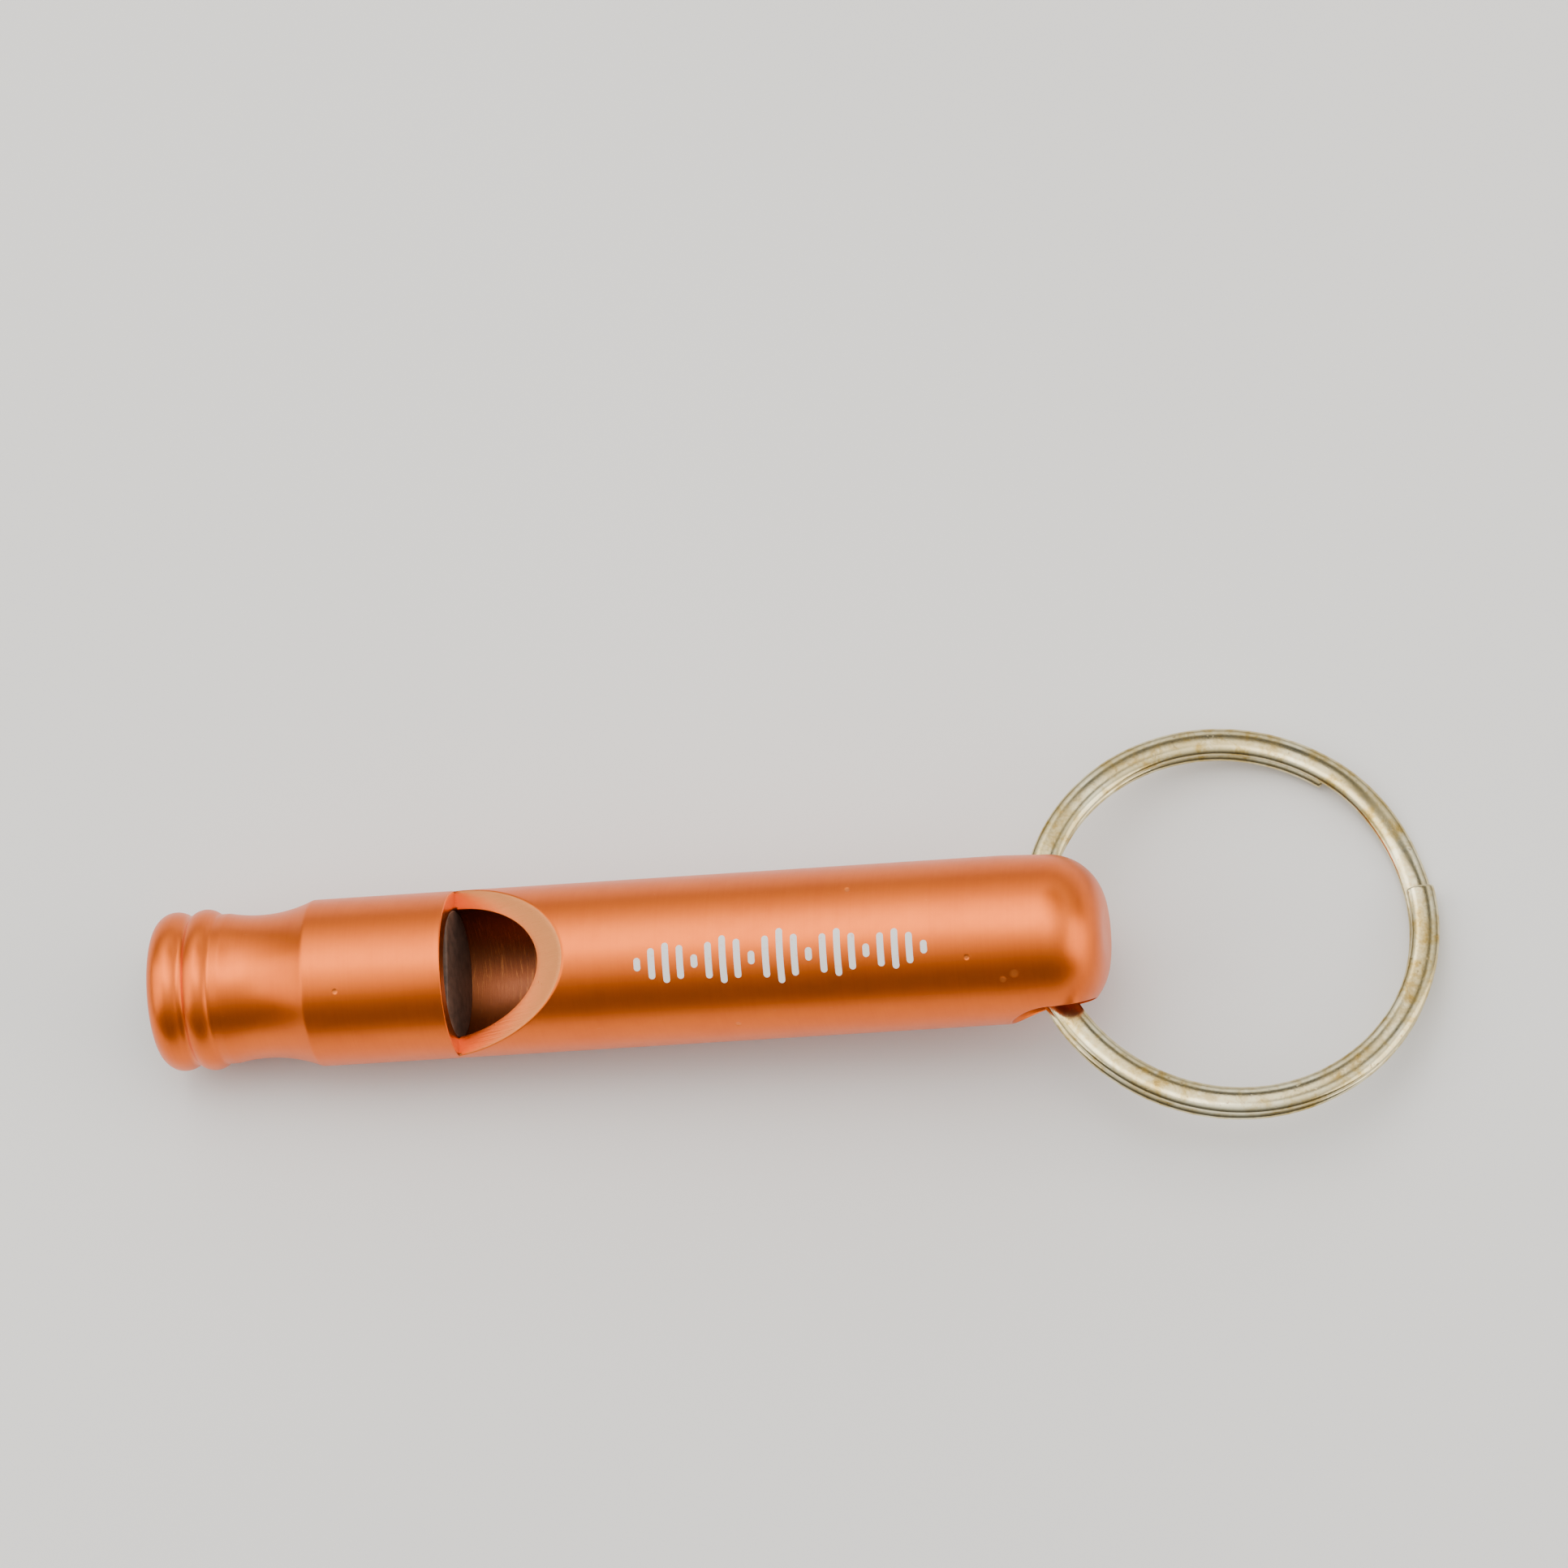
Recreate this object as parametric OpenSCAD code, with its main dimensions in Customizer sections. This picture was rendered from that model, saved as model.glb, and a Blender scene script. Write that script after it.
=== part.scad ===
// Tube whistle: a turned aluminium barrel with a pressed-in windway plug and a
// two-turn split ring through a cross hole in its tail.
// The barrel lies along X with its mouthpiece towards -X and its ring hole along Y.
// The origin is on the barrel's axis, midway along the plain grip.

/* [Barrel] */
// Overall length, from the mouth face to the tail end
body_l = 57.6; // [56:0.2:64]
// Diameter of the bar that the barrel is turned from
body_d = 10; // [9.8:0.1:10.4]
// Diameter of the bore that forms the air chamber
bore_d = 7.7; // [7.4:0.1:7.8]
// Depth of the bore from the mouth face, to the full diameter
bore_depth = 47; // [40:0.5:47.5]
// Radius that rounds the tail
tail_r = 3.4; // [2.8:0.1:3.8]
// How much the bar has narrowed, on its radius, where the tail's rounding starts
tail_ease = 0.1; // [0.05:0.01:0.2]
// Smallest diameter of the waist behind the mouth
waist_d = 8.6; // [8.5:0.1:9]
// Distance from the mouth face to the shoulder edge
shoulder_x = 9.8; // [9.4:0.1:10.4]

/* [Sound window] */
// Distance from the mouth face to the window's straight cut
window_x = 18.3; // [16:0.1:19]
// Length of the window, from the cut to the tip of the ramp
window_l = 7.5; // [6.5:0.1:8]
// Height of the ramp's foot over the barrel's axis, at the cut
window_foot = 0.3; // [0.1:0.1:0.6]
// Turn of the window about the barrel, away from square to the ring hole
window_turn = 6; // [0:1:20]

/* [Windway plug] */
// Height of the windway between the plug's flat and the bore
windway_h = 1; // [0.8:0.1:1.4]
// Distance that the plug's front face sits inside the mouth face
plug_inset = 0.6; // [0.4:0.1:1]
// Distance that the plug's rear face stops short of the window's cut
plug_short = 0; // [0:0.1:0.5]

/* [Ring hole] */
// Diameter of the cross hole in the tail
hole_d = 5; // [4.9:0.1:5.2]
// Wall left between the hole and the tail end
hole_wall = 0.9; // [0.8:0.1:1.4]
// Depth of the hole's centre line under the barrel's axis
hole_drop = 1; // [0.9:0.1:1.1]

/* [Split ring] */
// Outer diameter of the split ring
ring_d = 25; // [24.6:0.1:25.4]
// Width of the wire, across the ring
wire_w = 1.72; // [1.6:0.02:1.76]
// Thickness of one turn of the wire
wire_t = 0.78; // [0.7:0.02:0.8]
// Angle over which the wire crosses from one turn to the other
jog_deg = 46; // [36:1:60]
// Angle of the crossing, counted from the far side of the ring
jog_at = 4; // [0:1:20]

/* [Rest pose of the ring] */
// Turn of the ring about its hole, below the line of the barrel
ring_swing = 16; // [12:1:20]
// Lean of the ring in the slack of the hole
ring_lean = 9; // [0:1:9]
// Turn of the ring in its own plane, where it has slid along the hole
ring_slide = 7; // [0:1:7]

/* [Hidden] */
// Smoothness of round shapes
$fn = 96;
body_r = body_d / 2;
bore_r = bore_d / 2;
// Half angle of the drill point that ends the bore
drill_half_angle = 59;
bore_tip = bore_r / tan(drill_half_angle);
// The origin sits midway between the window's tip and the ring hole
hole_r = hole_d / 2;
hole_x = body_l - hole_wall - hole_r;
grip_mid = (window_x + window_l + hole_x - hole_r) / 2;
// The taper starts just before the hole and ends where the tail's rounding starts
ease_x = hole_x - hole_r - 0.2;
tail_top = body_r - tail_ease;
// Mouth rim and the second bead behind the groove
rim_wire = 1.25;
rim_r = 4.78;
bead_wire = 1.11;
bead_x = 3.1;
bead_r = 4.84;
neck_r = 4.5;
// The waist is a round groove that rises to the bar's radius at the shoulder
waist_x = 6.4;
waist_half = shoulder_x - waist_x;
waist_rise = body_r - waist_d / 2;
waist_arc = (waist_half * waist_half + waist_rise * waist_rise) / (2 * waist_rise);
// The ramp falls from the bar's skin at the window's tip to the foot at the cut
ramp_deg = atan((body_r - window_foot) / window_l);
// Split ring: mid radius of the wire, its corner rounding and the hairline gap
ring_mid = (ring_d - wire_w) / 2;
wire_corner = 0.2;
turn_gap = 0.04;
turn_pitch = wire_t + turn_gap;
jog_steps = 12;
// Angle by which the crossing bites into each turn
jog_bite = 2;
// How far the crossing's skin lies inside the turns' skin
jog_inset = 0.03;
// Where the strand rests in the hole, from the hole's centre line
strand_back = 0.92;
strand_drop = 0.15;
clear = 1;

// Turns a profile drawn as distance along the barrel (x) against radius (y)
// into a solid about the barrel's axis.
module about_axis() {
    rotate([0, 90, 0]) rotate([0, 0, 180]) rotate_extrude()
        rotate([0, 0, 90]) mirror([0, 1]) children();
}

// Outer outline of the barrel: rim, groove, bead, waist, grip and rounded tail.
module barrel_outline() {
    difference() {
        union() {
            translate([rim_wire, 0]) square([waist_x - rim_wire, neck_r]);
            square([2 * rim_wire, rim_r - rim_wire]);
            translate([rim_wire, rim_r - rim_wire]) circle(r = rim_wire);
            translate([bead_x, bead_r - bead_wire]) circle(r = bead_wire);
            bar_and_tail();
        }
        translate([waist_x, waist_d / 2 + waist_arc]) circle(r = waist_arc, $fn = 256);
        translate([-clear, -2 * body_d]) square([body_l + 2 * clear, 2 * body_d]);
    }
}

// The bar up to the taper, and the rounded tail that follows the taper.
module bar_and_tail() {
    translate([waist_x, 0]) square([ease_x - waist_x, body_r]);
    translate([waist_x, 0]) square([body_l - tail_r - waist_x, tail_top]);
    translate([body_l - 2 * tail_r, 0]) square([2 * tail_r, tail_top - tail_r]);
    translate([body_l - tail_r, tail_top - tail_r]) circle(r = tail_r);
}

// The slight taper between the bar and the tail's rounding.
module taper() {
    translate([ease_x, 0, 0]) rotate([0, 90, 0])
        cylinder(r1 = body_r, r2 = tail_top, h = body_l - tail_r - ease_x);
}

// The blind bore, drilled from the mouth, with its drill point.
module bore() {
    rotate([0, 90, 0]) {
        translate([0, 0, -clear]) cylinder(r = bore_r, h = bore_depth + clear);
        translate([0, 0, bore_depth]) cylinder(r1 = bore_r, r2 = 0, h = bore_tip);
    }
}

// The notch of the sound window: square at the cut, sloping up at the ramp.
module window_notch() {
    rotate([window_turn, 0, 0]) translate([window_x, 0, window_foot])
        rotate([90, 0, 0]) linear_extrude(height = 2 * body_d, center = true)
            polygon([
                [0, 0],
                [window_l * 1.2, tan(ramp_deg) * window_l * 1.2],
                [window_l * 1.2, body_d],
                [0, body_d]
            ]);
}

module whistle_body() {
    color("#DE7440") translate([-grip_mid, 0, 0]) difference() {
        union() {
            about_axis() barrel_outline();
            taper();
        }
        bore();
        window_notch();
        translate([hole_x, 0, -hole_drop]) rotate([90, 0, 0])
            cylinder(r = hole_r, h = 2 * body_d, center = true);
    }
}

// A round plug in the bore, with a flat that leaves the windway open under the window.
module windway_plug() {
    plug_l = window_x - plug_inset - plug_short;
    color("#5F463C") translate([plug_inset - grip_mid, 0, 0]) rotate([window_turn, 0, 0])
        difference() {
            rotate([0, 90, 0]) cylinder(r = bore_r, h = plug_l);
            translate([-clear, -body_d, bore_r - windway_h])
                cube([plug_l + 2 * clear, 2 * body_d, body_d]);
        }
}

// Cross-section of the wire: a flat strip with rounded corners.
module wire_section() {
    square([wire_w - 2 * wire_corner, wire_t], center = true);
    square([wire_w, wire_t - 2 * wire_corner], center = true);
    for (x = [-1, 1], y = [-1, 1])
        translate([x * (wire_w / 2 - wire_corner), y * (wire_t / 2 - wire_corner)])
            circle(r = wire_corner, $fn = 24);
}

// One turn of the ring, open over the crossing.
module ring_turn() {
    rotate([0, 0, jog_at + jog_deg]) rotate_extrude(angle = 360 - jog_deg)
        translate([ring_mid, 0]) wire_section();
}

// Height of the wire's middle along the crossing, easing in and out.
function jog_z(t) = turn_pitch / 2 * cos(180 * t);

// Corners of the wire's cross-section, as [distance from the middle radius, height].
section_x = wire_w / 2 - jog_inset;
section_z = wire_t / 2 - jog_inset;
section_cut = wire_corner * 0.6;
function section_points() = [
    [section_x - section_cut, -section_z], [section_x, -section_z + section_cut],
    [section_x, section_z - section_cut], [section_x - section_cut, section_z],
    [-section_x + section_cut, section_z], [-section_x, section_z - section_cut],
    [-section_x, -section_z + section_cut], [-section_x + section_cut, -section_z]
];

// The crossing: a slightly slimmer section swept from the upper turn to the lower
// one, and run a little way into each so that the three make one wire.
module ring_jog() {
    corners = section_points();
    count = len(corners);
    steps = jog_steps + 2;
    points = [
        for (i = [0:steps], c = corners)
            let (
                t = max(0, min(1, (i - 1) / jog_steps)),
                end = i == 0 ? jog_bite : i == steps ? -jog_bite : 0,
                a = jog_at + jog_deg * (1 - t) + end,
                r = ring_mid + c[0]
            )
                [r * cos(a), r * sin(a), c[1] + jog_z(t)]
    ];
    sides = [
        for (i = [0:steps - 1], k = [0:count - 1])
            let (m = (k + 1) % count)
                [i * count + k, (i + 1) * count + k, (i + 1) * count + m, i * count + m]
    ];
    first = [for (k = [0:count - 1]) k];
    last = [for (k = [count - 1:-1:0]) steps * count + k];
    polyhedron(points = points, faces = concat(sides, [first, last]));
}

// The spring-steel ring: an upper turn, a lower turn and the crossing between them.
module split_ring() {
    color("#CBC6B2") translate([hole_x - grip_mid - strand_back, 0, -hole_drop - strand_drop])
        rotate([0, ring_swing, 0]) rotate([-ring_lean, 0, 0]) rotate([0, 0, ring_slide])
            translate([ring_mid, 0, 0]) {
                translate([0, 0, turn_pitch / 2]) ring_turn();
                translate([0, 0, -turn_pitch / 2]) ring_turn();
                ring_jog();
            }
}

whistle_body();
windway_plug();
split_ring();
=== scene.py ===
"""Tube whistle on a split ring: skins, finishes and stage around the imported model."""

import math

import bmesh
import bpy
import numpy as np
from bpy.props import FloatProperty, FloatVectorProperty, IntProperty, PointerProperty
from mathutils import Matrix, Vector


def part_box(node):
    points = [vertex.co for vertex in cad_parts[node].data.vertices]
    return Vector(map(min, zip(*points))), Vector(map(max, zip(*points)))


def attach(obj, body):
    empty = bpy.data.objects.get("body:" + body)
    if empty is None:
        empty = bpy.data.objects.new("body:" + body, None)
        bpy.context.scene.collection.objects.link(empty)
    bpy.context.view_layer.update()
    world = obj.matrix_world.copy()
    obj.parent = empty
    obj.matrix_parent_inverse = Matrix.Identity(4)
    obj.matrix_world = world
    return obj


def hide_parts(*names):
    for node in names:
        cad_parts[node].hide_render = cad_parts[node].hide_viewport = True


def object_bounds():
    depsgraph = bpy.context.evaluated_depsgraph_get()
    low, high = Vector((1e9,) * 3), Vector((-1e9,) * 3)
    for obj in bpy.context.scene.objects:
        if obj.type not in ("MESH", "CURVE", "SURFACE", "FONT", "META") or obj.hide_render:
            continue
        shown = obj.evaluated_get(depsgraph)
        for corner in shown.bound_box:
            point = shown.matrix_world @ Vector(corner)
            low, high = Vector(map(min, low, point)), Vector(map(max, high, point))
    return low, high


bl_info = {
    "name": "Tube Whistle",
    "version": (1, 0, 0),
    "blender": (4, 5, 0),
    "location": "3D View > Sidebar > Whistle",
    "description": "Builds a turned tube whistle with its windway plug, split ring and stage",
    "category": "Add Mesh",
}

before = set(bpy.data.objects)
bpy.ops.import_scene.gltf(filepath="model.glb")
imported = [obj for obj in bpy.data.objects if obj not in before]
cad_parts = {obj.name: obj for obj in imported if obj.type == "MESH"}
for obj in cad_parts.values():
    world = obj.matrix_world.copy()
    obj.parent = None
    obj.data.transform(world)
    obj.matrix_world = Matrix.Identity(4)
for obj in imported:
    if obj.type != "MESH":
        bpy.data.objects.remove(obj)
CAD_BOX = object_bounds()
BODY_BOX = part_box("whistle_body")
PLUG_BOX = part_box("windway_plug")

MM = 0.001
WELD = 2e-7
CREASE = math.radians(38)
RIM_WIRE = 1.25 * MM
RIM_TOP = 4.78 * MM


# ---------------------------------------------------------------- settings


def length(name, description, millimetres):
    """A length property, stored in metres."""
    return FloatProperty(
        name=name, description=description, default=millimetres * MM,
        unit="LENGTH", subtype="DISTANCE", precision=5,
    )


def angle(name, description, degrees):
    """An angle property, stored in radians."""
    return FloatProperty(
        name=name, description=description, default=math.radians(degrees),
        unit="ROTATION", subtype="ANGLE",
    )


def colour(name, description, rgb):
    """A scene-linear colour property."""
    return FloatVectorProperty(
        name=name, description=description, default=rgb, size=3,
        subtype="COLOR", min=0.0, max=1.0,
    )


class BarrelSettings(bpy.types.PropertyGroup):
    """Sizes of the turned barrel; distances run from the mouth face towards the tail."""

    full_length: length("Length", "From the mouth face to the tail end", 57.6)
    bore_radius: length("Bore radius", "Radius of the air chamber", 3.85)
    bore_depth: length("Bore depth", "Full-diameter depth of the bore", 47.0)
    drill_point: length("Drill point", "Length of the cone that ends the bore", 2.313)
    neck_radius: length("Groove radius", "Radius at the bottom of the groove behind the rim", 4.5)
    waist_radius: length("Waist radius", "Smallest radius of the waist", 4.3)
    waist_at: length("Waist position", "Distance of the waist's narrowest place", 6.4)
    shoulder_at: length("Shoulder position", "Distance of the shoulder edge", 9.8)
    bead_at: length("Bead position", "Distance of the bead behind the groove", 3.1)
    cut_at: length("Window cut", "Distance of the window's straight cut", 18.3)
    window_length: length("Window length", "From the cut to the tip of the ramp", 7.5)
    window_foot: length("Ramp foot", "Height of the ramp's foot over the axis", 0.3)
    window_turn: angle("Window turn", "Turn of the window about the barrel", 6.0)
    tail_radius: length("Tail rounding", "Radius that rounds the tail", 3.4)
    tail_ease: length("Tail ease", "Narrowing of the bar where the rounding starts", 0.1)
    ease_at: length("Taper position", "Distance of the slight taper's start", 51.5)
    hole_radius: length("Hole radius", "Radius of the ring hole", 2.5)
    hole_at: length("Hole position", "Distance of the ring hole's centre", 54.2)
    hole_drop: length("Hole drop", "Depth of the ring hole under the axis", 1.0)
    edge_break: length("Edge break", "Width of the softened milled edges", 0.09)


class PlugSettings(bpy.types.PropertyGroup):
    """Sizes of the windway plug."""

    windway: length("Windway height", "Air gap over the plug's flat", 1.0)
    slack: length("Slack", "Gap left round the plug so that skins do not coincide", 0.012)
    edge_break: length("Edge break", "Rounding of the plug's end edges", 0.07)


class RingSettings(bpy.types.PropertyGroup):
    """Sizes and rest pose of the split ring."""

    mid_radius: length("Mid radius", "Radius of the wire's middle", 11.64)
    wire_width: length("Wire width", "Width of the wire across the ring", 1.72)
    wire_thickness: length("Wire thickness", "Thickness of one turn", 0.78)
    turn_pitch: length("Turn pitch", "Distance between the middles of the two turns", 0.82)
    crossing_at: angle("Crossing start", "Where the wire starts to cross over", 4.0)
    crossing_span: angle("Crossing span", "Angle over which the wire crosses over", 46.0)
    strand_back: length("Strand set-back", "Strand's rest place, in front of the hole's middle", 0.92)
    strand_drop: length("Strand drop", "Strand's rest place, under the hole's middle", 0.15)
    swing: angle("Swing", "Turn of the ring about its hole at rest", 16.0)
    lean: angle("Lean", "Lean of the ring in the hole's slack", -9.0)
    slide: angle("Slide", "Turn of the ring in its own plane", 7.0)


class MarkSettings(bpy.types.PropertyGroup):
    """Sizes of the printed row of sound bars."""

    bars: IntProperty(name="Bars", description="Number of printed bars", default=21, min=3)
    pitch: length("Bar pitch", "Distance from bar to bar", 0.86)
    width: length("Bar width", "Width of one bar", 0.4)
    height: length("Bar height", "Height of the tallest bar, round the barrel", 3.3)
    film: length("Film", "Thickness of the ink", 0.012)
    place: angle("Place", "Place of the print round the barrel, from the top", 16.0)
    start: length("Start", "Place of the print's middle along the barrel", 0.1)


class FinishSettings(bpy.types.PropertyGroup):
    """Colours of the finishes."""

    anodised: colour("Anodised", "Dyed oxide on the barrel", (0.84, 0.158, 0.010))
    anodised_pale: colour("Anodised, pale", "Thin dye on broken edges", (0.94, 0.34, 0.09))
    anodised_deep: colour("Anodised, deep", "Thick dye in hollows", (0.62, 0.09, 0.006))
    milled: colour("Milled faces", "Thin dye on the window's milled faces", (0.92, 0.36, 0.12))
    # A darker colour than the skin, used over the whole bore wall.
    drilled: colour("Drilled bore", "Dull dye on the drilled wall", (0.30, 0.085, 0.03))
    plug: colour("Plug", "Moulded plug", (0.155, 0.088, 0.062))
    nickel: colour("Nickel", "Clean plating", (0.76, 0.69, 0.45))
    tarnish: colour("Tarnish", "Yellowed plating", (0.46, 0.32, 0.09))
    rust: colour("Stain", "Brown stain", (0.22, 0.11, 0.035))
    ink: colour("Ink", "Printed silver-white ink", (0.78, 0.77, 0.75))
    floor: colour("Floor", "Pale floor", (0.80, 0.80, 0.795))


class StageSettings(bpy.types.PropertyGroup):
    """Camera, lights and floor."""

    lens: FloatProperty(name="Lens", description="Focal length", default=204.97, subtype="DISTANCE_CAMERA")
    distance: length("Distance", "From the camera to the origin, along the view", 530.44)
    shift_right: length("Offset right", "Origin's place right of the view's middle", 0.562)
    shift_down: length("Offset down", "Origin's place under the view's middle", 10.05)
    tilt: angle("Tilt", "Tail's tilt towards the camera", 10.526)
    climb: angle("Climb", "Rise of the barrel across the view", 3.807)
    roll: angle("Roll", "Turn of the window's side away from the camera", 16.0)
    key: FloatProperty(name="Key light", description="Power of the key light", default=0.9, unit="POWER")
    side: FloatProperty(name="Side lights", description="Power of the side lights", default=1.1, unit="POWER")
    air: FloatProperty(name="Surround", description="Strength of the pale surround", default=0.15)
    glow: FloatProperty(name="Glow", description="Strength of the tent's bright side", default=2.9)
    opening: angle("Opening", "Half width of the tent's dark opening", 19.0)
    gap: length("Floor gap", "Gap under the whistle's lowest points", 0.02)


# ---------------------------------------------------------------- mesh tools


def about_axis(x, phi, radius):
    """Point at distance x along the barrel, at an angle phi from +Z towards -Y, at a radius:
    (x, -radius sin phi, radius cos phi)."""
    x, phi, radius = np.broadcast_arrays(x, phi, radius)
    return np.stack([x, -radius * np.sin(phi), radius * np.cos(phi)], axis=-1)


def curve_between(start, corner, end, steps):
    """Rows of a quadratic curve from start to end that bends at the corner:
    (1-t)^2 start + 2t(1-t) corner + t^2 end."""
    t = np.linspace(0.0, 1.0, steps + 1).reshape(-1, 1, 1)
    return (1 - t) ** 2 * start + 2 * t * (1 - t) * corner + t**2 * end


def line_between(start, end, steps):
    """Rows that go straight from start to end."""
    t = np.linspace(0.0, 1.0, steps + 1).reshape(-1, 1, 1)
    return (1 - t) * start + t * end


def make_piece(name, patches, body, material):
    """Joins grids of points into one smooth, welded shell that faces outwards, and lets it ride on a body."""
    points, quads, start = [], [], 0
    for patch in patches:
        rows, columns = patch.shape[:2]
        index = np.arange(rows * columns).reshape(rows, columns) + start
        cells = (index[:-1, :-1], index[:-1, 1:], index[1:, 1:], index[1:, :-1])
        quads.append(np.stack(cells, axis=-1).reshape(-1, 4))
        points.append(patch.reshape(-1, 3))
        start += rows * columns
    mesh = bpy.data.meshes.new(name)
    mesh.from_pydata(np.concatenate(points), [], np.concatenate(quads).tolist())
    work = bmesh.new()
    work.from_mesh(mesh)
    bmesh.ops.remove_doubles(work, verts=work.verts, dist=WELD)
    bmesh.ops.dissolve_degenerate(work, dist=WELD, edges=work.edges)
    bmesh.ops.recalc_face_normals(work, faces=work.faces)
    open_edges = sum(1 for edge in work.edges if not edge.is_manifold)
    if work.calc_volume(signed=True) < 0:
        bmesh.ops.reverse_faces(work, faces=work.faces)
    work.to_mesh(mesh)
    work.free()
    if open_edges:
        raise RuntimeError(f"{name} has {open_edges} open edges")
    mesh.shade_smooth()
    mesh.set_sharp_from_angle(angle=CREASE)
    mesh.materials.append(material)
    piece = bpy.data.objects.new(name, mesh)
    bpy.context.scene.collection.objects.link(piece)
    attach(piece, body)
    return piece


# ---------------------------------------------------------------- barrel

WINDOW_CELLS = 96
ROUND_CELLS = 192
BREAK_STEPS = 4
FACE_STEPS = 6


def mouth_at(barrel):
    """Place of the mouth face along X, counted back from the tail end."""
    return BODY_BOX[1].x - barrel.full_length


class BarrelShape:
    """The barrel's surfaces, with every distance along +X from the mouth face."""

    def __init__(self, s):
        self.s = s
        self.length = s.full_length
        self.mouth = mouth_at(s)
        self.bar = BODY_BOX[1].z
        self.slope = (self.bar - s.window_foot) / s.window_length
        self.tail_path = self.tail_outline()
        steps = np.linalg.norm(np.diff(self.tail_path, axis=0), axis=1)
        self.tail_run = np.concatenate([[0.0], np.cumsum(steps)])
        # Columns of points round the barrel: the first ones lie inside the window.
        t = np.linspace(-1.0, 1.0, WINDOW_CELLS + 1)
        self.t = t
        self.outer_half = math.acos(s.window_foot / self.bar)
        self.inner_half = math.acos(s.window_foot / s.bore_radius)
        rest = np.linspace(0.0, 1.0, ROUND_CELLS - WINDOW_CELLS + 1)[1:]
        self.outer_turn = self.columns(t, rest, self.outer_half)
        self.inner_turn = self.columns(t, rest, self.inner_half)
        taper = np.clip((1 - np.abs(t)) / 0.08, 0.0, 1.0)
        self.break_width = s.edge_break * taper * (2 - taper)

    def columns(self, t, rest, half):
        """Angles from the window's middle: across the window, then round the back to its start."""
        return np.concatenate([t * half, half + rest * (2 * math.pi - 2 * half)])

    def at(self, x, turn, radius):
        """A point at an angle counted from the window's middle."""
        return about_axis(x + self.mouth, turn + self.s.window_turn, radius)

    def everywhere(self, inside, outside):
        """A value for each column: one array for those in the window, one number for the rest."""
        return np.concatenate([inside, np.full(ROUND_CELLS - WINDOW_CELLS, outside)])

    def arc(self, centre, radius, first, last, steps=60):
        """Points of an arc in the plane of distance and radius, from one angle to another in degrees."""
        a = np.radians(np.linspace(first, last, steps))
        return np.stack([centre[0] + radius * np.cos(a), centre[1] + radius * np.sin(a)], axis=-1)

    def front_outline(self, inner_start, outer_end):
        """Outline from inside the bore round the mouth rim, groove, bead and waist to the plain bar.
        The exact outline is sampled evenly and softened by a moving average, as tumbling does."""
        s = self.s
        bead_wire, bead_top = 1.11 * MM, 4.84 * MM
        rim = (RIM_WIRE, RIM_TOP - RIM_WIRE)
        bead = (s.bead_at, bead_top - bead_wire)
        rim_start = 180 - math.degrees(math.asin((s.bore_radius - rim[1]) / RIM_WIRE))
        rim_end = math.degrees(math.asin((s.neck_radius - rim[1]) / RIM_WIRE))
        bead_end = math.degrees(math.asin((s.neck_radius - bead[1]) / bead_wire))
        half, rise = s.shoulder_at - s.waist_at, self.bar - s.waist_radius
        waist_arc = (half**2 + rise**2) / (2 * rise)
        centre = (s.waist_at, s.waist_radius + waist_arc)
        waist_start = -180 + math.degrees(math.asin((centre[1] - s.neck_radius) / waist_arc))
        waist_end = -math.degrees(math.asin((centre[1] - self.bar) / waist_arc))
        outline = np.concatenate([
            [[inner_start, s.bore_radius]],
            self.arc(rim, RIM_WIRE, rim_start, rim_end),
            self.arc(bead, bead_wire, 180 - bead_end, bead_end),
            self.arc(centre, waist_arc, waist_start, waist_end),
            [[outer_end, self.bar]],
        ])
        return softened(resample(outline, 0.01 * MM))

    def front_sleeve(self):
        """Bore wall up to the cut, rim, groove, bead, waist and grip up to the cut, closed round the axis."""
        s = self.s
        inner_start, outer_end = 1.2 * MM, 10.4 * MM
        inner = self.everywhere(s.cut_at - self.break_width, s.cut_at)
        rows_in = np.linspace(0, 1, 15)[:-1, None]
        bore_x = inner * (1 - rows_in) + inner_start * rows_in
        bore = self.at(bore_x, self.inner_turn, s.bore_radius)
        path = resample(self.front_outline(inner_start, outer_end), 0.085 * MM)
        along = np.linspace(0, 1, len(path))[:, None]
        blend = np.clip(along * 4, 0, 1)
        blend = blend * blend * (3 - 2 * blend)
        turn = self.inner_turn * (1 - blend) + self.outer_turn * blend
        rim = self.at(path[:, :1], turn, path[:, 1:])
        outer = self.everywhere(s.cut_at - self.break_width, s.cut_at)
        rows_out = np.linspace(0, 1, 25)[1:, None]
        skin_x = outer_end * (1 - rows_out) + outer * rows_out
        skin = self.at(skin_x, self.outer_turn, self.bar)
        return np.concatenate([bore, rim, skin])

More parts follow.
